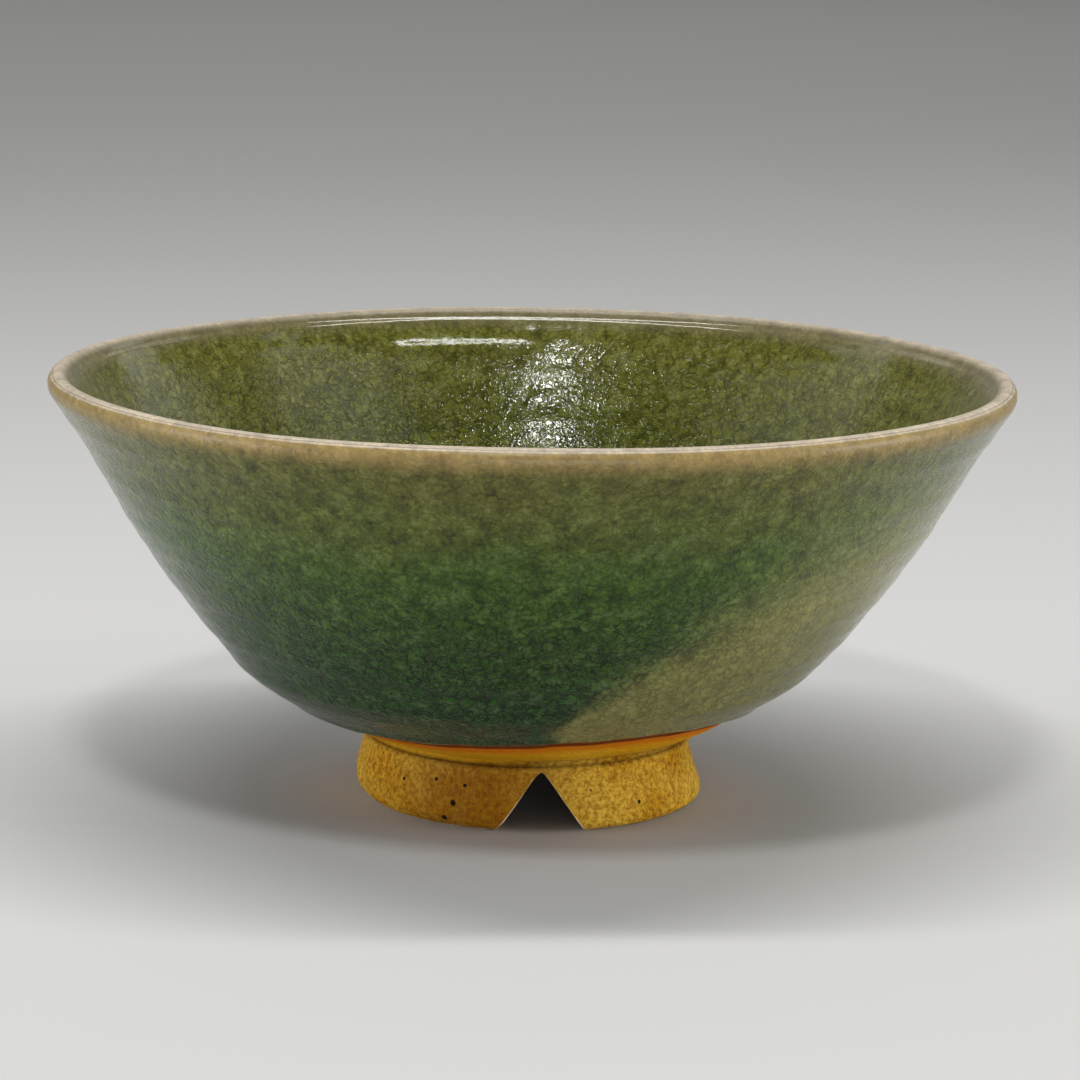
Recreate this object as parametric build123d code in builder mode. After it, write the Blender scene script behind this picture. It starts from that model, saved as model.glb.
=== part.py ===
"""A glazed rice bowl on a notched foot ring: thrown clay, a luted foot and three coats of glaze.

Millimetres. The origin is the centre of the foot's underside, +Z runs up the bowl's axis, and the
foot's notch faces -Y.
"""

from build123d import *
from math import copysign
import os

# Glaze
GLAZE = 0.5

# The bowl's surface is one run of tangent arcs, each given as (radius, turn in degrees). It leaves
# the foot, climbs the outside, rolls over the lip and comes down the inside to the flat of the well.
SURFACE_START = (22.4, 9.1)
SURFACE_SLOPE = 19.7
BARE_UNDERSIDE = [(50.0, 12.0)]
OUTSIDE = [(50.0, 19.5), (125.0, 10.5), (100.0, -8.0)]
RIM = [(1.6, 180.0), (102.0, 1.0)]
INSIDE = [(102.0, 7.0), (105.0, -10.5), (42.0, -51.2)]

# Foot ring
FOOT_HEIGHT = 8.6
FOOT_TOP_RADIUS = 21.4
FOOT_WIDEST_RADIUS = 23.2
FOOT_WIDEST_HEIGHT = 2.6
FOOT_BASE_RADIUS = 22.6
FOOT_INNER_RADIUS = 17.6
FOOT_INNER_BASE_RADIUS = 18.2
FOOT_EDGE_RADIUS = 0.5
JOINT_RADIUS = 21.7

# Notch
NOTCH_WIDTH = 12.0
NOTCH_HEIGHT = 9.2
NOTCH_APEX_RADIUS = 1.0

SECTION = Plane.XZ


def run(start, bends, depth=0.0):
    """Arcs along the surface, or a depth under it. Gives the surface's point and direction there."""
    point, direction = start
    inset = direction.rotate(Axis.Z, 90) * depth
    point = point + inset
    for radius, turn in bends:
        arc = JernArc(point, direction, radius - copysign(depth, turn), turn)
        point, direction = arc @ 1, arc % 1
    return point - direction.rotate(Axis.Z, 90) * depth, direction


def under(place, depth):
    """The point a depth under a place on the surface."""
    point, direction = place
    return point + direction.rotate(Axis.Z, 90) * depth


def coat(start, bends):
    """Both faces of the glaze along these bends, closed where it starts."""
    run(start, bends)
    run(start, bends, GLAZE)
    Line(start[0], under(start, GLAZE))


foot_place = (Vector(*SURFACE_START), Vector(1, 0).rotate(Axis.Z, SURFACE_SLOPE))
glaze_line = run(foot_place, BARE_UNDERSIDE)
rim_outer_edge = run(glaze_line, OUTSIDE)
rim_inner_edge = run(rim_outer_edge, RIM)
well_edge = run(rim_inner_edge, INSIDE)

# Thrown clay: floor, wall and lip in one piece, bare below the glaze line
with BuildPart() as clay_body:
    with BuildSketch(SECTION):
        with BuildLine():
            run(foot_place, BARE_UNDERSIDE + OUTSIDE + RIM + INSIDE, GLAZE)
            Polyline(
                under(well_edge, GLAZE),
                (0, under(well_edge, GLAZE).Y),
                (0, FOOT_HEIGHT),
                (JOINT_RADIUS, FOOT_HEIGHT),
                under(foot_place, GLAZE),
            )
        make_face()
    revolve(axis=Axis.Z)

# Foot ring, luted under the floor, flared to the ground and notched at the front
with BuildPart() as foot_ring:
    with BuildSketch(SECTION) as ring_section:
        with BuildLine():
            Polyline(
                (FOOT_INNER_RADIUS, FOOT_HEIGHT),
                (FOOT_TOP_RADIUS, FOOT_HEIGHT),
                (FOOT_WIDEST_RADIUS, FOOT_WIDEST_HEIGHT),
                (FOOT_BASE_RADIUS, 0),
                (FOOT_INNER_BASE_RADIUS, 0),
                close=True,
            )
        make_face()
        fillet(ring_section.vertices().group_by(Axis.Y)[0], FOOT_EDGE_RADIUS)
    revolve(axis=Axis.Z)
    with BuildSketch(SECTION) as notch_section:
        with BuildLine():
            Polyline((-NOTCH_WIDTH / 2, 0), (0, NOTCH_HEIGHT), (NOTCH_WIDTH / 2, 0), close=True)
        make_face()
        fillet(notch_section.vertices().sort_by(Axis.Y)[-1], NOTCH_APEX_RADIUS)
    extrude(amount=FOOT_WIDEST_RADIUS + 1, mode=Mode.SUBTRACT)

# Coloured glaze over the outside, from the glaze line to the rim band
with BuildPart() as outer_glaze:
    with BuildSketch(SECTION):
        with BuildLine():
            coat(glaze_line, OUTSIDE)
            Line(rim_outer_edge[0], under(rim_outer_edge, GLAZE))
        make_face()
    revolve(axis=Axis.Z)

# Thin pale glaze where it breaks over the lip
with BuildPart() as rim_glaze:
    with BuildSketch(SECTION):
        with BuildLine():
            coat(rim_outer_edge, RIM)
            Line(rim_inner_edge[0], under(rim_inner_edge, GLAZE))
        make_face()
    revolve(axis=Axis.Z)

# Coloured glaze over the inside, with the flat of the well as a closed floor
with BuildPart() as inner_glaze:
    with BuildSketch(SECTION):
        with BuildLine():
            coat(rim_inner_edge, INSIDE)
            Polyline(
                well_edge[0],
                (0, well_edge[0].Y),
                (0, under(well_edge, GLAZE).Y),
                under(well_edge, GLAZE),
            )
        make_face()
    revolve(axis=Axis.Z)

clay_body.part.label = "clay_body"
foot_ring.part.label = "foot_ring"
outer_glaze.part.label = "outer_glaze"
rim_glaze.part.label = "rim_glaze"
inner_glaze.part.label = "inner_glaze"

os.makedirs("parts", exist_ok=True)
export_step(clay_body.part, "parts/clay_body.step")
export_step(foot_ring.part, "parts/foot_ring.step")
export_step(outer_glaze.part, "parts/outer_glaze.step")
export_step(rim_glaze.part, "parts/rim_glaze.step")
export_step(inner_glaze.part, "parts/inner_glaze.step")

bowl = Compound([clay_body.part, foot_ring.part, outer_glaze.part, rim_glaze.part, inner_glaze.part])
box = bowl.bounding_box()
print(f"bowl {box.size.X:.1f} x {box.size.Y:.1f} x {box.size.Z:.1f} mm, base at {box.min.Z:.2f}")
print(f"glaze line at radius {glaze_line[0].X:.1f}, height {glaze_line[0].Y:.1f}")
print(f"rim band from height {rim_outer_edge[0].Y:.1f} outside to {rim_inner_edge[0].Y:.1f} inside")
print(f"well at height {well_edge[0].Y:.1f}")
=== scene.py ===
"""Looks of the rice bowl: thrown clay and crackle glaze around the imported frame, in a soft studio.

Lengths inside the modelling functions are millimetres; meshes are made in metres. A surface is a
grid of rows round the bowl's axis, each point placed by its distance along the profile.
"""

import math

import bpy
import numpy as np
from mathutils import Matrix, Vector, noise


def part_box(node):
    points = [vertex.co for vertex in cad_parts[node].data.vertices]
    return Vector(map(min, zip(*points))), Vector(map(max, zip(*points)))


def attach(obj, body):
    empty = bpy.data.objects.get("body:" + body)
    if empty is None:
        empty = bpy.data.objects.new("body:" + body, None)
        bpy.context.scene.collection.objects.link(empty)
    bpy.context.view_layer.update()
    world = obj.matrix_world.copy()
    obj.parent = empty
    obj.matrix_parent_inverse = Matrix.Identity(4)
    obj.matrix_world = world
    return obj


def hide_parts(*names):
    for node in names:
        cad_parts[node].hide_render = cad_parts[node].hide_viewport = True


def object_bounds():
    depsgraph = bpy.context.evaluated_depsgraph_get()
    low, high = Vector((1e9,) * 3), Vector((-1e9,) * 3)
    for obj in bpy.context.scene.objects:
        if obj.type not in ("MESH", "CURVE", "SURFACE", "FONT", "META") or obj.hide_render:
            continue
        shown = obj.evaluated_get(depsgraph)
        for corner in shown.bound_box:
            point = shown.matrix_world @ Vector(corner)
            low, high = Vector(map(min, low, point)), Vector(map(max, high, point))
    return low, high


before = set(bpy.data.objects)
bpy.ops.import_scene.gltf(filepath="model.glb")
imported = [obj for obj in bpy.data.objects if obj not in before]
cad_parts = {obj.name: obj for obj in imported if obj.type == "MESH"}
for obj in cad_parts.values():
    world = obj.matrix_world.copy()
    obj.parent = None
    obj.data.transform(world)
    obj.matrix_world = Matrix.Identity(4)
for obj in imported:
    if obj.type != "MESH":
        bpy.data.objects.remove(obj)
cad_low, cad_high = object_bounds()

MM = 0.001

# The profile, as in the frame: tangent arcs (radius, turn in degrees) from the foot up the outside,
# over the lip and down the inside to the flat of the well
PROFILE_START = (22.4, 9.1)
PROFILE_SLOPE = 19.7
PROFILE_BENDS = [
    (50.0, 31.5), (125.0, 10.5), (100.0, -8.0), (1.6, 180.0), (102.0, 8.0), (105.0, -10.5), (42.0, -51.2),
]
GLAZE = 0.5
PROFILE_STEP = 0.05

# Distances along the profile that separate the pieces
BARE_LENGTH = math.radians(12.0) * 50.0
RIM_START = math.radians(31.5) * 50.0 + math.radians(10.5) * 125.0 + math.radians(8.0) * 100.0
RIM_END = RIM_START + math.radians(180.0) * 1.6 + math.radians(1.0) * 102.0

FOOT_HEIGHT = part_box("foot_ring")[1].z / MM
BOWL_HEIGHT = cad_high.z / MM
FOOT_INNER_TOP = 17.6
FOOT_INNER_BASE = 18.2
JOINT_RADIUS = 21.7
NOTCH_HALF_WIDTH = 6.0
NOTCH_TOP = 8.1

COLUMNS = 600
CLAY_COLUMNS = 480
FOOT_COLUMNS = 900
BAND_ROWS = 64

# Stored on the vertices: closeness and pooled hold these values in mm at the glaze line and fall
# to 0 away from it. The foot ring has no closeness, and so reads 0.
CLOSENESS_AT_LINE = 12.0
CLOSENESS_MOST = 13.0
POOLED_AT_LINE = 4.0

GLAZE_LINE_BEAD = 0.22
RIM_THINNING = 0.157
FRONT_RISE = 0.65

noise.seed_set(7)


# Profile and displacement


def walk_profile():
    """Distance, radius, height and outward normal at even steps along the whole profile."""
    point = np.array(PROFILE_START)
    angle = math.radians(PROFILE_SLOPE)
    pieces = []
    for radius, turn in PROFILE_BENDS:
        side = math.copysign(1.0, turn)
        count = max(8, int(abs(math.radians(turn)) * radius / PROFILE_STEP))
        heading = angle + math.radians(turn) * np.linspace(0.0, 1.0, count + 1)
        centre = point + radius * side * np.array([-math.sin(angle), math.cos(angle)])
        arc = centre - radius * side * np.column_stack([-np.sin(heading), np.cos(heading)])
        pieces.append(np.column_stack([arc, np.sin(heading), -np.cos(heading)])[:-1])
        point, angle = arc[-1], heading[-1]
    flat = np.linspace(point[0], 0.0, int(point[0] / PROFILE_STEP))
    well = np.column_stack([flat, np.full_like(flat, point[1]), np.zeros_like(flat), np.ones_like(flat)])
    path = np.vstack(pieces + [well])
    steps = np.hypot(*np.diff(path[:, :2], axis=0).T)
    return np.concatenate([[0.0], np.cumsum(steps)]), path


DISTANCE, PATH = walk_profile()
WELL_CENTRE = DISTANCE[-1]
CREST = DISTANCE[np.argmax(PATH[:, 1])]
if abs(PATH[:, 1].max() - BOWL_HEIGHT) > 0.1:
    raise ValueError("the profile and the frame differ in height")


def turned(count=COLUMNS):
    """Evenly spaced angles round the axis."""
    return np.linspace(-math.pi, math.pi, count, endpoint=False)


def hump(x, centre, width):
    """Smooth bump of height 1 and this half width."""
    return np.exp(-(((x - centre) / width) ** 2))


def smooth(x, low, high):
    """0 below low, 1 above high, with a smooth ramp between."""
    t = np.clip((x - low) / (high - low), 0.0, 1.0)
    return t * t * (3.0 - 2.0 * t)


def grain(points, size, octaves=2):
    """Fractal noise over points, with features of this size; about -1 to 1."""
    return np.array([noise.fractal(Vector(p) / size, 1.0, 2.0, octaves) for p in points])


def pebbles(points, size):
    """Rounded cells of this size with creases between them; 0 in a crease to 1 on a crown."""
    from_crown = []
    for point in points:
        place = Vector(point) / size
        from_crown.append(noise.voronoi(place + 0.35 * noise.noise_vector(place))[0][0])
    return 1.0 - np.clip(np.array(from_crown), 0.0, 1.0) ** 2


def glaze_line(angle):
    """Distance along the profile where the outside glaze ends; it wavers round the bowl."""
    wave = 0.8 * np.cos(angle + math.radians(75)) + 1.2 * np.cos(2 * (angle + math.radians(65)))
    drips = 0.7 * np.cos(3 * (angle + math.radians(62))) + 0.12 * np.cos(17 * angle + 1.0)
    return BARE_LENGTH + wave + drips + 0.1 * np.cos(29 * angle)


def from_front(angle):
    """Angle measured from the front, -Y, between -pi and pi."""
    return np.angle(np.exp(1j * (angle + math.pi / 2)))


def hand_made(points):
    """The wobble of a thrown bowl: out of round, fuller low on one side, the rim high in front."""
    x, y, z = points.T
    angle = np.arctan2(y, x)
    radius = np.hypot(x, y)
    rise = np.clip(z / BOWL_HEIGHT, 0.0, 1.2)
    outward = rise * (0.18 * np.cos(2 * angle + 0.6) + 0.12 * np.cos(3 * angle - 1.1))
    right = 0.5 + 0.5 * np.cos(angle)
    outward += (1.0 - right) * 0.9 * hump(z, 17.5, 3.4)
    outward -= right * (hump(z, 14.4, 2.2) + 0.38 * hump(z, 26.0, 8.0))
    waves = 0.12 * np.cos(2 * angle - 0.4) + 0.1 * np.cos(3 * angle + 2.0) + 0.05 * np.cos(7 * angle)
    lift = rise**2 * waves
    in_front = FRONT_RISE * hump(from_front(angle), 0.0, 0.6)
    lift += rise**3 * (0.2 * np.sin(angle) + 0.15 * np.cos(angle) + in_front)
    scale = 1.0 + outward / np.maximum(radius, 4.0)
    return np.column_stack([x * scale, y * scale, z + lift])


def on_profile(distance, angle, offset):
    """Points at these distances along the profile and angles, raised from the surface by offset."""
    r, z, nr, nz = (np.interp(distance, DISTANCE, PATH[:, k]) for k in range(4))
    radius = r + nr * offset
    return np.stack([radius * np.cos(angle), radius * np.sin(angle), z + nz * offset], axis=-1)


def throwing_rings(distance, angle):
    """Low ridges left by the fingers, climbing round the wall, and a short ledge inside at the back."""
    turns = distance + 1.1 * angle / math.pi
    ridges = 0.05 * np.sin(2 * math.pi * turns / 8.3) + 0.03 * np.sin(2 * math.pi * turns / 3.7 + 1.0)
    below_rim = 1 - smooth(distance, RIM_START - 4, RIM_START)
    above_well = 1 - smooth(distance, WELL_CENTRE - 14, WELL_CENTRE - 6)
    outside = smooth(distance, BARE_LENGTH, BARE_LENGTH + 8) * below_rim
    inside = smooth(distance, RIM_END, RIM_END + 3) * above_well
    at_back = smooth(np.cos(angle - math.radians(95)), 0.975, 0.99)
    step = 0.38 * hump(distance, RIM_END + 4.2, 1.05) - 0.05 * hump(distance, RIM_END + 2.0, 1.2)
    ledge = at_back * step
    return ridges * (outside + 0.6 * inside) + ledge


def rim_step(distance):
    """The glaze is thin over the lip and thickens in a soft roll where the green begins inside."""
    before_end = 1 - smooth(distance, RIM_END - 1.2, RIM_END - 0.2)
    thin = smooth(distance, RIM_START - 1.2, RIM_START + 1.0) * before_end
    return -RIM_THINNING * thin


def glaze_offset(distance, angle):
    """Height of the glaze over its even surface: rings, rolls and the pebbled skin."""
    flat = on_profile(distance, angle, 0.0).reshape(-1, 3)
    skin = 0.045 * (pebbles(flat * [1, 1, 1.25], 2.3) - 0.6) + 0.02 * grain(flat, 4.5)
    calm = 1 - 0.7 * hump(distance, CREST, 3.6) - 0.4 * hump(distance, RIM_END + 4.2, 1.5)
    return throwing_rings(distance, angle) + rim_step(distance) + calm * skin.reshape(distance.shape)


# Meshes


def lathe(name, rows, start_pole=None, end_pole=None, ring=False):
    """Closed mesh from rows of points round the axis, between poles, or joined end to end as a ring."""
    count, columns = rows.shape[:2]
    points = [rows.reshape(-1, 3)]
    next_column = np.roll(np.arange(columns), -1)
    quads = []
    for i in range(count if ring else count - 1):
        low, high = i * columns, ((i + 1) % count) * columns
        quads.append(np.column_stack([
            low + np.arange(columns), low + next_column, high + next_column, high + np.arange(columns),
        ]))
    faces = np.vstack(quads).tolist()
    for pole, row, order in ((start_pole, 0, (1, 0)), (end_pole, count - 1, (0, 1))):
        if pole is None:
            continue
        tip = sum(len(p) for p in points)
        points.append(np.array([pole], float))
        edge = np.column_stack([row * columns + np.arange(columns), row * columns + next_column])
        faces += [[int(a), int(b), tip] for a, b in edge[:, order]]
    mesh = bpy.data.meshes.new(name)
    mesh.from_pydata((np.vstack(points) * MM).tolist(), [], faces)
    mesh.update()
    mesh.shade_smooth()
    piece = bpy.data.objects.new(name, mesh)
    bpy.context.scene.collection.objects.link(piece)
    return piece


def store(piece, name, values):
    """Writes one number per vertex for the material to read."""
    layer = piece.data.attributes.new(name, "FLOAT", "POINT")
    filled = np.zeros(len(piece.data.vertices), np.float32)
    filled[: values.size] = values.ravel()
    layer.data.foreach_set("value", filled)


def rows_of(distances, angle):
    """One row for each distance, with a value for each column."""
    return np.array([np.broadcast_to(d, angle.shape) for d in distances])


def coat(rows, angle, offset):
    """Points of a displaced coat at these rows of distances."""
    turn = np.broadcast_to(angle, rows.shape)
    points = on_profile(rows, turn, offset(rows, turn))
    return hand_made(points.reshape(-1, 3)).reshape(points.shape)


def under_glaze(distance, angle):
    """The face of the clay, one coat of glaze down."""
    return np.full(distance.shape, -GLAZE)


def rolled_edge(distance, angle):
    """The outside glaze, swelling near its lower edge and rolling under to the clay."""
    inside = distance - glaze_line(angle)
    bead = GLAZE_LINE_BEAD * hump(inside, 0.9, 0.8)
    shape = np.sqrt(1.0 - (1.0 - np.clip(inside / 0.5, 0.0, 1.0)) ** 2)
    return (GLAZE + bead + glaze_offset(distance, angle)) * shape - GLAZE


def bare_clay(distance, angle):
    """The bare band: fine turning lines and grit."""
    flat = on_profile(distance, angle, 0.0).reshape(-1, 3)
    lines = 0.02 * np.sin(distance * 5.2 + 0.6 * np.sin(angle * 2))
    return lines - GLAZE + 0.02 * grain(flat, 0.9, 3).reshape(distance.shape)


def joined_normals(piece, borders):
    """Sets the vertex normals, with border rows taken from the surface that runs on past them."""
    normals = np.array([v.normal for v in piece.data.vertices])
    angle = turned()
    reach = 0.3
    for row, distance in borders:
        rows = rows_of([distance - reach, distance, distance + reach], angle)
        before, here, after = coat(rows, angle, glaze_offset)
        along = np.roll(here, -1, axis=0) - np.roll(here, 1, axis=0)
        normal = np.cross(along, after - before)
        normals[row * COLUMNS : (row + 1) * COLUMNS] = normal / np.linalg.norm(normal, axis=1)[:, None]
    piece.data.normals_split_custom_set_from_vertices(normals.tolist())


def make_outer_glaze():
    """The green coat outside, from the wavering glaze line up to the rim band."""
    angle = turned()
    edge = glaze_line(angle)
    rolling = [0.0, 0.015, 0.06, 0.13, 0.22, 0.34, 0.5, 0.7, 0.95, 1.25]
    steps = np.concatenate([rolling, np.linspace(1.6, RIM_START - BARE_LENGTH, 132)])
    face = rows_of([edge + t * (RIM_START - edge) for t in steps / steps[-1]], angle)
    back = rows_of([RIM_START + t * (edge + 0.3 - RIM_START) for t in np.linspace(0, 1, 8)], angle)
    points = np.concatenate([coat(face, angle, rolled_edge), coat(back, angle, under_glaze)])
    piece = lathe("outer_glaze_coat", points, ring=True)
    store(piece, "from_crest", np.concatenate([face, back]) - CREST)
    store(piece, "pooled", np.clip(POOLED_AT_LINE - (face - edge), 0.0, POOLED_AT_LINE))
    joined_normals(piece, [(len(face) - 1, RIM_START)])
    return piece


def make_rim_glaze():
    """The thin straw-coloured coat over the lip."""
    angle = turned()
    face = rows_of(np.linspace(RIM_START, RIM_END, 60), angle)
    back = rows_of(np.linspace(RIM_END, RIM_START, 10), angle)
    points = np.concatenate([coat(face, angle, glaze_offset), coat(back, angle, under_glaze)])
    piece = lathe("rim_glaze_coat", points, ring=True)
    store(piece, "from_crest", np.concatenate([face, back]) - CREST)
    joined_normals(piece, [(0, RIM_START), (len(face) - 1, RIM_END)])
    return piece


def make_inner_glaze():
    """The green coat inside, from the rim band down to the middle of the well."""
    angle = turned()
    last = WELL_CENTRE - 0.6
    back = rows_of(np.linspace(last, RIM_END, 12), angle)
    face = rows_of(np.linspace(RIM_END, last, 150), angle)
    front = coat(face, angle, glaze_offset)
    piece = lathe(
        "inner_glaze_coat",
        np.concatenate([coat(back, angle, under_glaze), front]),
        start_pole=(0, 0, PATH[-1, 1] - GLAZE),
        end_pole=(0, 0, front[-1, :, 2].mean()),
    )
    store(piece, "from_crest", np.concatenate([back, face]) - CREST)
    piece.data.attributes["from_crest"].data[-1].value = last - CREST
    joined_normals(piece, [(len(back), RIM_END)])
    return piece


def turned_recess(angle):
    """Rows of the clay inside the foot, with the rings of the turning tool."""
    rows = []
    for radius in np.linspace(0.4, JOINT_RADIUS, 60):
        ripple = 0.05 * math.sin(radius * 2.4) * smooth(FOOT_INNER_TOP - radius, 0.5, 3.0)
        height = np.full_like(angle, FOOT_HEIGHT - ripple)
        rows.append(np.column_stack([radius * np.cos(angle), radius * np.sin(angle), height]))
    return hand_made(np.concatenate(rows)).reshape(len(rows), -1, 3)


def make_clay_body():
    """The thrown clay: turned underside, bare band and the wall that the glaze covers."""
    angle = turned(CLAY_COLUMNS)
    recess = turned_recess(angle)
    bare = rows_of(np.linspace(0.0, BARE_LENGTH + 4.5, BAND_ROWS), angle)
    hidden = rows_of(np.linspace(BARE_LENGTH + 5.5, WELL_CENTRE - 0.6, 64), angle)
    walls = [coat(bare, angle, bare_clay), coat(hidden, angle, under_glaze)]
    points = np.concatenate([recess, *walls])
    piece = lathe("clay_body_thrown", points, (0, 0, FOOT_HEIGHT), (0, 0, PATH[-1, 1] - GLAZE))
    closeness = np.zeros(points.shape[:2])
    near = np.clip(CLOSENESS_AT_LINE - (glaze_line(angle) - bare), 0.0, CLOSENESS_MOST)
    closeness[len(recess) : len(recess) + BAND_ROWS] = near
    store(piece, "closeness", closeness)
    return piece


def foot_outside(z, angle):
    """Radius of the foot ring's outside: a soft bulge on one side, a straight flare on the other."""
    belly = 3.2
    above, below = np.abs((z - belly) / 5.4) ** 1.8, np.abs((belly - z) / belly) ** 3
    bulge = 23.2 - 1.8 * np.where(z > belly, above, below)
    eased = 1.6
    tucked = (np.maximum(eased - z, 0.0) / eased) ** 4
    flare = 21.6 + 2.3 * (FOOT_HEIGHT - np.maximum(z, eased)) / 7.0 - 1.3 * tucked
    share = 0.5 + 0.5 * np.cos(angle - math.radians(175))
    flush = 0.6 * smooth(np.abs(angle + math.pi / 2), 0.5, 1.2) * smooth(z, 6.5, FOOT_HEIGHT)
    return bulge * share + flare * (1 - share) + flush


def foot_inside(z, angle):
    """Radius of the foot ring's inside, trimmed a little out of true and eased at the ground."""
    wall = FOOT_INNER_BASE + (FOOT_INNER_TOP - FOOT_INNER_BASE) * z / FOOT_HEIGHT
    return wall + 0.1 * np.cos(3 * angle + 0.5) + 0.4 * np.maximum(0.4 - z, 0.0) / 0.4


def notch_height(x):
    """Height of the V notch's cut at this distance from its middle, rounded at the apex."""
    slope = NOTCH_TOP / (NOTCH_HALF_WIDTH - 0.4)
    return np.maximum(NOTCH_TOP + 0.6 - slope * np.sqrt(x**2 + 0.25), 0.0)


def foot_angles():
    """Angles round the foot, closer together across the notch."""
    even = np.linspace(0.0, 1.0, FOOT_COLUMNS, endpoint=False)
    return -math.pi / 2 + 2 * math.pi * (even - 0.09 * np.sin(2 * math.pi * even))


def foot_points(radius_of, share, angle):
    """A row of wall points at this share of the height left above the notch."""
    in_front = np.cos(angle + math.pi / 2) > 0
    z = np.zeros_like(angle)
    for _ in range(4):
        base = notch_height(radius_of(z, angle) * np.sin(angle + math.pi / 2)) * in_front
        z = base + share * (FOOT_HEIGHT - base)
    radius = radius_of(z, angle)
    return np.column_stack([radius * np.cos(angle), radius * np.sin(angle), z])


def between(low, high, count):
    """Rows of points between two rows."""
    return [low + (high - low) * t for t in np.linspace(0, 1, count + 2)[1:-1]]


def make_foot_ring():
    """The luted foot ring, with grit and the V notch cut through it."""
    angle = foot_angles()
    low_shares = [0.0, 0.004, 0.012, 0.025]
    rising = low_shares + list(np.linspace(0.045, 1.0, 44))
    falling = list(np.linspace(1.0, 0.05, 20)) + low_shares[::-1]
    outer = [foot_points(foot_outside, share, angle) for share in rising]
    inner = [foot_points(foot_inside, share, angle) for share in falling]
    top = between(outer[-1], inner[0], 4)
    base = between(inner[-1], outer[0], 18)
    rows = np.array(outer + top + inner + base)
    flat = rows.reshape(-1, 3)
    grit = 0.05 * grain(flat, 1.1, 4) + 0.12 * grain(flat, 6.0, 2)
    radial = flat * [1, 1, 0] / np.hypot(flat[:, 0], flat[:, 1])[:, None]
    sign = np.where(np.arange(len(flat)) < (len(outer) + 2) * len(angle), 1.0, -1.0)
    held = smooth(flat[:, 2], 0.0, 0.6) * (1 - smooth(flat[:, 2], 8.0, FOOT_HEIGHT))
    flat = flat + radial * (sign * grit * held)[:, None]
    piece = lathe("foot_ring_cut", hand_made(flat).reshape(rows.shape), ring=True)
    cut = np.zeros(rows.shape[:2])
    cut[len(rows) - len(base) :] = 1.0
    cut[:4] = np.array([1.0, 1.0, 0.8, 0.4])[:, None]
    store(piece, "cut", cut * (rows[:, :, 2] > 0.05))
    return piece


# Materials


class Shader:
    """A material's node tree, with a short call for each node."""

    def __init__(self, name, **surface):
        self.material = bpy.data.materials.new(name)
        self.material.use_nodes = True
        self.tree = self.material.node_tree
        self.surface = self.tree.nodes["Principled BSDF"]
        self.where = self.node("ShaderNodeTexCoord").outputs["Object"]
        for socket, value in surface.items():
            self.surface.inputs[socket.replace("_", " ")].default_value = value

    def node(self, kind, sockets=None, **settings):
        """Adds a node; sockets maps input names or numbers to values or to other nodes' outputs."""
        made = self.tree.nodes.new(kind)
        for key, value in settings.items():
            setattr(made, key, value)
        for key, value in (sockets or {}).items():
            if isinstance(value, bpy.types.NodeSocket):
                self.tree.links.new(value, made.inputs[key])
            else:
                made.inputs[key].default_value = value
        return made

    def link(self, output, socket):
        self.tree.links.new(output, self.surface.inputs[socket])

    def math(self, operation, a, b=0.0, c=0.0):
        return self.node("ShaderNodeMath", {0: a, 1: b, 2: c}, operation=operation).outputs[0]

    def ramp(self, value, low, high, out_low=0.0, out_high=1.0):
        """Smooth step of value from low to high."""
        sockets = {
            "Value": value,
            "From Min": low,
            "From Max": high,
            "To Min": out_low,
            "To Max": out_high,
        }
        made = self.node("ShaderNodeMapRange", sockets, interpolation_type="SMOOTHSTEP")
        return made.outputs["Result"]

    def mix(self, share, a, b):
        return self.node("ShaderNodeMix", {0: share, 6: a, 7: b}, data_type="RGBA").outputs[2]

    def dim(self, colour, factor):
        """The colour times a number."""
        return self.node("ShaderNodeVectorMath", {0: colour, 3: factor}, operation="SCALE").outputs[0]

    def attribute(self, name):
        return self.node("ShaderNodeAttribute", attribute_name=name).outputs["Fac"]

    def noise(self, size_mm, detail=2.0, roughness=0.5):
        """Fractal noise with features of this size, 0 to 1."""
        sockets = {
            "Vector": self.where,
            "Scale": 1000.0 / size_mm,
            "Detail": detail,
            "Roughness": roughness,
        }
        return self.node("ShaderNodeTexNoise", sockets)

    def warped(self, amount_mm, size_mm, stretch=(1.0, 1.0, 1.0)):
        """Object coordinates pushed about by noise, so that cells come out irregular."""
        cloud = self.noise(size_mm, 2.0).outputs["Color"]
        middle = (0.5, 0.5, 0.5)
        centred = self.node("ShaderNodeVectorMath", {0: cloud, 1: middle}, operation="SUBTRACT")
        moved = self.node(
            "ShaderNodeVectorMath",
            {0: centred.outputs[0], 1: (amount_mm * MM * 2,) * 3, 2: self.where},
            operation="MULTIPLY_ADD",
        )
        sockets = {0: moved.outputs[0], 1: stretch}
        return self.node("ShaderNodeVectorMath", sockets, operation="MULTIPLY").outputs[0]

    def distance_to(self, spot, where=None):
        """Distance in metres from a place in metres."""
        sockets = {0: where or self.where, 1: spot}
        return self.node("ShaderNodeVectorMath", sockets, operation="DISTANCE").outputs["Value"]

    def cells(self, size_mm, where, feature="DISTANCE_TO_EDGE"):
        sockets = {"Vector": where, "Scale": 1000.0 / size_mm}
        return self.node("ShaderNodeTexVoronoi", sockets, feature=feature)

    def bump(self, height, depth_mm, under=None):
        sockets = {"Height": height, "Distance": depth_mm * MM}
        if under is not None:
            sockets["Normal"] = under
        return self.node("ShaderNodeBump", sockets).outputs["Normal"]


def rgb(red, green, blue):
    return (red, green, blue, 1.0)


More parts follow.
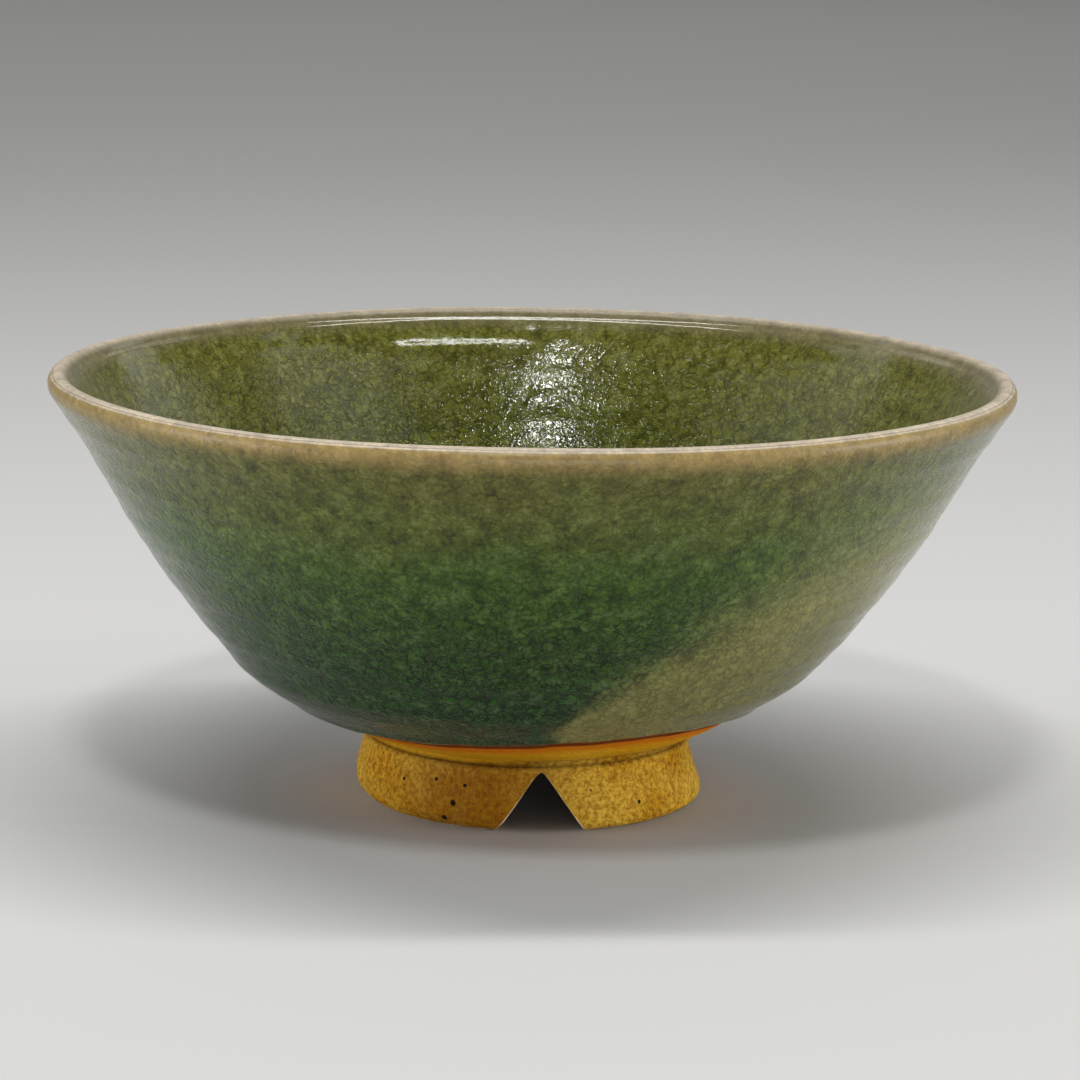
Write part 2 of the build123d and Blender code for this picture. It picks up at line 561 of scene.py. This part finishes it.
def crackle(shader):
    """Crazing: soft broken dark creases between cells, 0 on the cells to 1 in a crease."""
    large = shader.cells(2.4, shader.warped(1.3, 1.7, (1.0, 1.0, 1.25))).outputs["Distance"]
    small = shader.cells(1.3, shader.warped(0.8, 1.0, (1.0, 1.0, 1.2))).outputs["Distance"]
    patchy = shader.noise(3.5, 4.0, roughness=0.7).outputs["Fac"]
    wide_here = shader.ramp(patchy, 0.46, 0.58, 0.0, 0.9)
    wide = shader.math("MULTIPLY", shader.ramp(large, 0.17, 0.01), wide_here)
    thin_here = shader.ramp(patchy, 0.66, 0.44, 0.0, 0.8)
    thin = shader.math("MULTIPLY", shader.ramp(small, 0.22, 0.02), thin_here)
    cloud = shader.noise(1.7, 3.0, roughness=0.6).outputs["Fac"]
    contour = shader.math("ABSOLUTE", shader.math("SUBTRACT", cloud, 0.5))
    wrinkle = shader.ramp(contour, 0.035, 0.003, 0.0, 0.6)
    return shader.math("MAXIMUM", shader.math("MAXIMUM", wide, thin), wrinkle)


# Albedos of the green glaze: deep low on the wall, then mid, then olive towards the rim
OUTSIDE = {"deep": (0.006, 0.04, 0.001), "mid": (0.036, 0.074, 0.007), "olive": (0.085, 0.087, 0.015)}
INSIDE = {"deep": (0.045, 0.066, 0.004), "mid": (0.078, 0.084, 0.008), "olive": (0.098, 0.098, 0.015)}
# The khaki is a painted reflection of a lit floor, low on the right outside
FLOOR_REFLECTION_KHAKI = (0.18, 0.165, 0.048)
# The pale olive is a painted sheen on the lighter mottles of the green
PAINTED_SHEEN_OLIVE = (0.14, 0.155, 0.09)

# Albedos of the thin glaze over the lip: outside, inside and along the crest, where the cream is partly
# the thin glaze's own paler colour and partly painted highlight
TAN = (0.218, 0.155, 0.054)
STRAW = (0.14, 0.12, 0.06)
CREAM_AND_HIGHLIGHT = (0.38, 0.32, 0.235)

GLAZE_IOR = 1.5
GLAZE_SPECULAR = 0.27
VEIL = 0.06
VEIL_ROUGHNESS = 0.35


def graded(shader, level, colours):
    """Green deepening downwards; level is the height in mm, drifting with noise."""
    low = shader.mix(shader.ramp(level, 18.0, 42.0), rgb(*colours["deep"]), rgb(*colours["mid"]))
    return shader.mix(shader.ramp(level, 38.0, 56.0), low, rgb(*colours["olive"]))


def painted_floor_reflection(shader, height, across):
    """Share of khaki painted reflection of a lit floor, low on the right, behind a sloping edge."""
    reflection_edge = shader.math("MULTIPLY_ADD", height, -0.83, 12.5)
    waver = shader.noise(5.0, 4.0, roughness=0.7).outputs["Fac"]
    beyond = shader.math("MULTIPLY_ADD", waver, 8.0, shader.math("ADD", across, reflection_edge))
    beyond = shader.math("ADD", beyond, shader.ramp(height, 14.5, 18.5, 0.0, 2.8))
    softness = shader.ramp(height, 16.0, 46.0, 3.5, 30.0)
    depth_in = shader.math("DIVIDE", shader.math("SUBTRACT", beyond, 3.0), softness)
    fading = shader.ramp(height, 56.0, 34.0, 0.0, 0.8)
    return shader.math("MULTIPLY", shader.ramp(depth_in, 0.0, 1.0), fading)


def lip_share(shader, height, inward):
    """Share of thin glaze: 1 on the lip, 0 below its drifting edge."""
    edge_drift = shader.noise(2.5, 3.0).outputs["Fac"]
    lip = shader.math("MULTIPLY_ADD", edge_drift, 1.2, height)
    lip = shader.math("MULTIPLY_ADD", inward, -0.7, lip)
    return shader.ramp(lip, BOWL_HEIGHT - 3.5, BOWL_HEIGHT - 0.8)


def lip_colour(shader, crest, inward, spread, lines):
    """Tan outside, straw inside, cream along the crest that is partly painted highlight, and a thin line
    of painted shade beside it.
    """
    inner_crest = shader.ramp(crest, 2.0, 0.0, 0.0, 0.9)
    on_crest = shader.math("MULTIPLY", shader.ramp(crest, -1.45, -1.15), inner_crest)
    thin = shader.mix(inward, rgb(*TAN), rgb(*STRAW))
    # Cream along the crest: the thin glaze's paler colour, partly painted highlight
    thin = shader.mix(on_crest, thin, rgb(*CREAM_AND_HIGHLIGHT))
    groove = shader.math("ABSOLUTE", shader.math("ADD", crest, 0.95))
    # Painted shade: a thin dark line beside the crest
    groove_shade = shader.ramp(groove, 0.16, 0.05)
    thin = shader.dim(thin, shader.math("MULTIPLY_ADD", groove_shade, -0.4, 1.0))
    thin = shader.dim(thin, shader.math("MULTIPLY_ADD", spread, 1.6, 1.0))
    return shader.dim(thin, shader.math("MULTIPLY_ADD", lines, -0.2, 1.0))


def glaze_skin(shader, crest, inward, creased):
    """Normal of the glaze: orange peel, glitter and pressed creases, all calm over the lip."""
    inner_skin = shader.ramp(crest, 4.5, 10.5, 0.1, 1.0)
    outer_skin = shader.ramp(crest, -1.0, -4.5, 0.1, 1.0)
    rough_share = shader.math("MAXIMUM", inner_skin, outer_skin)
    orange_peel = shader.math("MULTIPLY", shader.noise(1.6, 2.0).outputs["Fac"], rough_share)
    glitter = shader.math("MULTIPLY", shader.noise(0.95, 1.0).outputs["Fac"], rough_share)
    skin = shader.bump(glitter, 0.05, shader.bump(orange_peel, 0.04))
    shallower = shader.math("MULTIPLY_ADD", inward, -0.6, 1.0)
    pressed = shader.math("MULTIPLY", rough_share, shallower)
    return shader.bump(shader.math("MULTIPLY", creased, pressed), -0.1, skin)


def glaze_contrast(shader, reflection_share, inward):
    """How strong mottle and creases are: weaker inside and under the painted floor reflection."""
    outside_reflection = shader.math("MULTIPLY", reflection_share, shader.math("SUBTRACT", 1.0, inward))
    calmed = shader.math("ADD", shader.math("MULTIPLY", inward, 0.45), outside_reflection)
    return shader.math("MULTIPLY_ADD", calmed, -0.55, 1.0)


def glaze_material(name):
    """Green crackle glaze, thin over the lip; from_crest is below 0 outside and above 0 inside."""
    shader = Shader(
        name,
        IOR=GLAZE_IOR,
        Specular_IOR_Level=GLAZE_SPECULAR,
        Sheen_Weight=VEIL,
        Sheen_Roughness=VEIL_ROUGHNESS,
    )
    place = shader.node("ShaderNodeSeparateXYZ", {0: shader.where})
    height = shader.math("MULTIPLY", place.outputs["Z"], 1000.0)
    across = shader.math("MULTIPLY", place.outputs["X"], 1000.0)
    crest = shader.attribute("from_crest")
    inward = shader.ramp(crest, -0.8, 0.8)
    drift = shader.noise(14.0, 3.0).outputs["Fac"]
    level = shader.math("MULTIPLY_ADD", shader.math("SUBTRACT", drift, 0.5), 16.0, height)
    reflection_share = painted_floor_reflection(shader, height, across)
    # Painted reflection: khaki over the green low on the right, where a lit floor would mirror
    outside = shader.mix(reflection_share, graded(shader, level, OUTSIDE), rgb(*FLOOR_REFLECTION_KHAKI))
    green = shader.mix(inward, outside, graded(shader, level, INSIDE))

    mottle = shader.noise(2.4, 4.0, roughness=0.75).outputs["Fac"]
    contrast = glaze_contrast(shader, reflection_share, inward)
    grainy = shader.noise(0.5, 2.0, roughness=0.7).outputs["Fac"]
    both = shader.math("MULTIPLY_ADD", shader.math("SUBTRACT", grainy, 0.5), 0.4, mottle)
    spread = shader.math("MULTIPLY", shader.math("SUBTRACT", both, 0.5), contrast)
    lines = crackle(shader)
    tone = shader.math("MULTIPLY_ADD", spread, 3.1, 1.13)
    deeper_low = shader.ramp(height, 50.0, 24.0, 0.6, 1.15)
    depth = shader.math("MULTIPLY_ADD", inward, 0.5, deeper_low)
    creased = shader.math("MULTIPLY", shader.math("MULTIPLY", lines, contrast), depth)
    tone = shader.math("MULTIPLY", tone, shader.math("MULTIPLY_ADD", creased, -0.75, 1.0))
    green = shader.dim(green, shader.math("MAXIMUM", tone, 0.2))
    # Painted sheen: the lighter mottles turned pale olive
    green = shader.mix(shader.ramp(both, 0.5, 0.75, 0.0, 0.3), green, rgb(*PAINTED_SHEEN_OLIVE))

    thin = lip_colour(shader, crest, inward, spread, lines)
    body = shader.mix(lip_share(shader, height, inward), green, thin)
    pool = shader.ramp(shader.attribute("pooled"), 2.6, 3.6)
    shader.link(shader.dim(body, shader.math("MULTIPLY_ADD", pool, -0.45, 1.0)), "Base Color")

    outer_satin = shader.ramp(crest, -4.5, -2.5)
    satin = shader.math("MULTIPLY", outer_satin, shader.ramp(crest, 1.9, 1.3, 0.0, 0.27))
    gloss = shader.ramp(mottle, 0.35, 0.65, 0.06, 0.13)
    shader.link(shader.math("ADD", gloss, satin), "Roughness")
    shader.link(glaze_skin(shader, crest, inward, creased), "Normal")
    return shader.material


# Albedos of the clay; a pair is for the two kinds of patch in it
SAND_LIGHT = ((0.5, 0.265, 0.006), (0.62, 0.4, 0.05))
SAND_DARK = ((0.18, 0.06, 0.001), (0.26, 0.115, 0.003))
# Painted shade on the foot's front, left of the notch
FOOT_SHADE = (0.12, 0.032, 0.001)
IRON = (0.008, 0.003, 0.002)
DUST = (0.7, 0.58, 0.45)
OCHRE = (0.9, 0.45, 0.001)
FLASHED = (0.52, 0.115, 0.001)
# Painted shadow: a thin dark line on the clay just below the glaze's rolled edge
ROLL_SHADOW = (0.08, 0.012, 0.001)

# The middle of the painted shade on the foot, a darker part left of the notch, in mm
FOOT_SHADE_SPOT = (-9.0, -21.0, 4.0)

# Iron specks on the foot: azimuth round the axis in degrees, height and diameter in mm
SPECKS = [
    (-119.5, 3.5, 0.8),
    (-122.7, 1.3, 0.8),
    (-116.0, 5.9, 0.5),
    (-127.0, 6.2, 0.5),
    (-140.4, 5.4, 0.5),
    (-54.9, 3.2, 0.5),
]


def iron_specks(shader):
    """1 inside a speck, 0 away from all: the large ones by place, small ones scattered."""
    ragged = shader.warped(0.12, 0.5)
    spots = shader.cells(2.4, shader.where, "F1")
    chance = shader.node("ShaderNodeSeparateColor", {0: spots.outputs["Color"]}).outputs[0]
    picked = shader.ramp(chance, 0.5, 0.52)
    near = shader.ramp(spots.outputs["Distance"], 0.11, 0.07, 0.0, 0.8)
    speck = shader.math("MULTIPLY", near, picked)
    for azimuth, height, size in SPECKS:
        a = math.radians(azimuth)
        radius = float(foot_outside(np.array(height), np.array(a)))
        place = np.array([[radius * math.cos(a), radius * math.sin(a), height]])
        away = shader.distance_to(tuple(hand_made(place)[0] * MM), ragged)
        placed = shader.ramp(away, size * 0.6 * MM, size * 0.4 * MM)
        speck = shader.math("MAXIMUM", speck, placed)
    return speck


def sandy_ground(shader, sand):
    """Light and dark sand, with painted shade round one spot and a shadow line where the foot joins."""
    patches = shader.noise(9.0, 3.0).outputs["Fac"]
    patch = shader.ramp(patches, 0.35, 0.65)
    light, dark = (shader.mix(patch, rgb(*pair[0]), rgb(*pair[1])) for pair in (SAND_LIGHT, SAND_DARK))
    ground = shader.mix(shader.ramp(sand, 0.34, 0.66), dark, light)
    # Painted shade: the foot darkened round one spot at its front
    from_shade_spot = shader.distance_to(tuple(MM * v for v in FOOT_SHADE_SPOT))
    shaded_ground = shader.mix(shader.ramp(from_shade_spot, 0.018, 0.003, 0.0, 0.65), ground, rgb(*FOOT_SHADE))
    height = shader.node("ShaderNodeSeparateXYZ", {0: shader.where}).outputs["Z"]
    above_seam = shader.math("SUBTRACT", height, FOOT_HEIGHT * MM)
    seam = shader.ramp(shader.math("ABSOLUTE", above_seam), 0.6 * MM, 0.1 * MM, 0.0, -0.3)
    return shader.dim(shaded_ground, shader.math("ADD", seam, 1.0))


def clay_material(name):
    """Bare sandy stoneware: ochre, gritty, specked with iron, flashed orange beside the glaze, with a
    painted shadow line under the glaze's rolled edge.
    """
    shader = Shader(name, Specular_IOR_Level=0.1)
    sand = shader.noise(0.7, 4.0, roughness=0.85).outputs["Fac"]
    specks = iron_specks(shader)
    iron = shader.mix(specks, sandy_ground(shader, sand), rgb(*IRON))
    coarse = shader.noise(1.6, 3.0).outputs["Fac"]
    smear = shader.ramp(coarse, 0.4, 0.6, 0.25, 0.9)
    dusty = shader.mix(shader.math("MULTIPLY", shader.attribute("cut"), smear), iron, rgb(*DUST))
    closeness = shader.attribute("closeness")
    band = shader.mix(shader.ramp(closeness, 0.0, 1.5, 0.0, 0.42), dusty, rgb(*OCHRE))
    flashed = shader.mix(shader.ramp(closeness, 5.0, 8.4, 0.0, 0.85), band, rgb(*FLASHED))
    # Painted shadow under the glaze's rolled edge, a thin dark line just below it
    roll_shadowed = shader.mix(shader.ramp(closeness, 8.6, 9.4, 0.0, 0.88), flashed, rgb(*ROLL_SHADOW))
    shader.link(roll_shadowed, "Base Color")
    shader.link(shader.ramp(sand, 0.3, 0.7, 0.75, 0.95), "Roughness")
    grit = shader.bump(sand, 0.18)
    pitted = shader.bump(specks, -0.12, grit)
    shader.link(shader.bump(coarse, 0.14, pitted), "Normal")
    return shader.material


def dress(piece, node, material):
    """Puts a piece in place of its CAD node."""
    piece.data.materials.append(material)
    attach(piece, "root")
    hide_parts(node)


# Studio


LIGHT_AIM = (0, 0.04, 0.045)


def softbox(name, azimuth, elevation, distance, width, height, watts):
    """Area light on a sphere round the bowl, azimuth 0 in front at -Y, turning towards +X."""
    data = bpy.data.lights.new(name, "AREA")
    data.shape = "RECTANGLE"
    data.size, data.size_y = width, height
    data.energy = watts
    light = bpy.data.objects.new(name, data)
    a, e = math.radians(azimuth), math.radians(elevation)
    away = Vector((math.sin(a) * math.cos(e), -math.cos(a) * math.cos(e), math.sin(e)))
    light.location = Vector(LIGHT_AIM) + away * distance
    light.rotation_euler = away.to_track_quat("Z", "Y").to_euler()
    light.visible_camera = False
    bpy.context.scene.collection.objects.link(light)
    return light


FLOOR_HALF = 5.0
FLOOR_COLOUR = (0.42, 0.416, 0.408)


def make_floor():
    """A pale, plain floor under the bowl."""
    mesh = bpy.data.meshes.new("floor")
    corners = [(FLOOR_HALF * x, FLOOR_HALF * y, 0) for x, y in ((-1, -1), (1, -1), (1, 1), (-1, 1))]
    mesh.from_pydata(corners, [], [(0, 1, 2, 3)])
    floor = bpy.data.objects.new("floor", mesh)
    bpy.context.scene.collection.objects.link(floor)
    shader = Shader("pale_floor", Roughness=0.9)
    shader.surface.inputs["Base Color"].default_value = rgb(*FLOOR_COLOUR)
    mesh.materials.append(shader.material)


# Softboxes: azimuth and elevation in degrees, distance, width and height in metres, and watts.
# The strip overhead and the small box above the camera draw the bright lines and the glitter. The
# panels draw the broad sheens, the low ones light the foot, and the skirts, which stand near the
# floor, light the lower wall.
SOFTBOXES = {
    "overhead_strip": (0, 88, 0.7, 0.8, 0.07, 5.2),
    "above_camera": (-12, 54.5, 0.8, 0.09, 0.08, 2.1),
    "right_panel": (62, 43, 0.9, 0.62, 0.25, 1.05),
    "left_panel": (-94, 35, 0.9, 0.96, 0.27, 1.1),
    "back_panel": (125, 22, 0.9, 0.48, 0.25, 0.42),
    "low_right": (75, 12, 0.7, 0.4, 0.2, 1.5),
    "low_left": (-80, 12, 0.7, 0.4, 0.2, 1.4),
    "skirt_front": (2, -1, 0.8, 0.5, 0.04, 2.3),
    "skirt_right": (72, -1, 0.8, 0.4, 0.04, 1.5),
    "skirt_left": (-76, -1, 0.8, 0.4, 0.04, 1.5),
}
BACKDROP_PLACE = (0.0, 1.6, 1.2)
BACKDROP_WATTS = 10
ROOM_GREY = (0.5, 0.5, 0.5)
ROOM_STRENGTH = 0.34


def make_studio():
    """Softboxes round the bowl, a wide one over the floor behind, and a grey room."""
    for name, values in SOFTBOXES.items():
        softbox(name, *values)
    wide = softbox("over_backdrop", 0, 90, 1.0, 2.6, 1.6, BACKDROP_WATTS)
    wide.location = BACKDROP_PLACE
    wide.rotation_euler = (0, 0, 0)
    world = bpy.data.worlds.new("studio")
    world.use_nodes = True
    background = world.node_tree.nodes["Background"]
    background.inputs["Color"].default_value = rgb(*ROOM_GREY)
    background.inputs["Strength"].default_value = ROOM_STRENGTH
    bpy.context.scene.world = world
    bpy.context.scene.view_settings.view_transform = "Standard"


CAMERA_DISTANCE = 0.5462
CAMERA_AZIMUTH = -5.2
CAMERA_ELEVATION = 14.58
CAMERA_PITCH = 10.98
CAMERA_YAW = 0.15
CAMERA_ROLL = 0.98
CAMERA_LENS = 132.23


def make_camera():
    """The photograph's view: a long lens, slightly above the rim, tipped a degree."""
    data = bpy.data.cameras.new("camera")
    data.lens = CAMERA_LENS
    data.sensor_width = 36.0
    data.clip_start, data.clip_end = 0.01, 20.0
    camera = bpy.data.objects.new("camera", data)
    e = math.radians(CAMERA_ELEVATION)
    spin = Matrix.Rotation(math.radians(CAMERA_AZIMUTH), 4, "Z")
    place = Matrix.Translation((0, -CAMERA_DISTANCE * math.cos(e), CAMERA_DISTANCE * math.sin(e)))
    turn = Matrix.Rotation(math.radians(-CAMERA_YAW), 4, "Z")
    tilt = Matrix.Rotation(math.radians(90 - CAMERA_PITCH), 4, "X")
    roll = Matrix.Rotation(math.radians(CAMERA_ROLL), 4, "Z")
    camera.matrix_world = spin @ place @ turn @ tilt @ roll
    bpy.context.scene.collection.objects.link(camera)
    bpy.context.scene.camera = camera


stoneware = clay_material("sandy_stoneware")
green_glaze = glaze_material("green_crackle_glaze")
rim_glaze = glaze_material("thin_rim_glaze")

dress(make_clay_body(), "clay_body", stoneware)
dress(make_foot_ring(), "foot_ring", stoneware)
dress(make_outer_glaze(), "outer_glaze", green_glaze)
dress(make_inner_glaze(), "inner_glaze", green_glaze)
dress(make_rim_glaze(), "rim_glaze", rim_glaze)

make_floor()
make_studio()
make_camera()
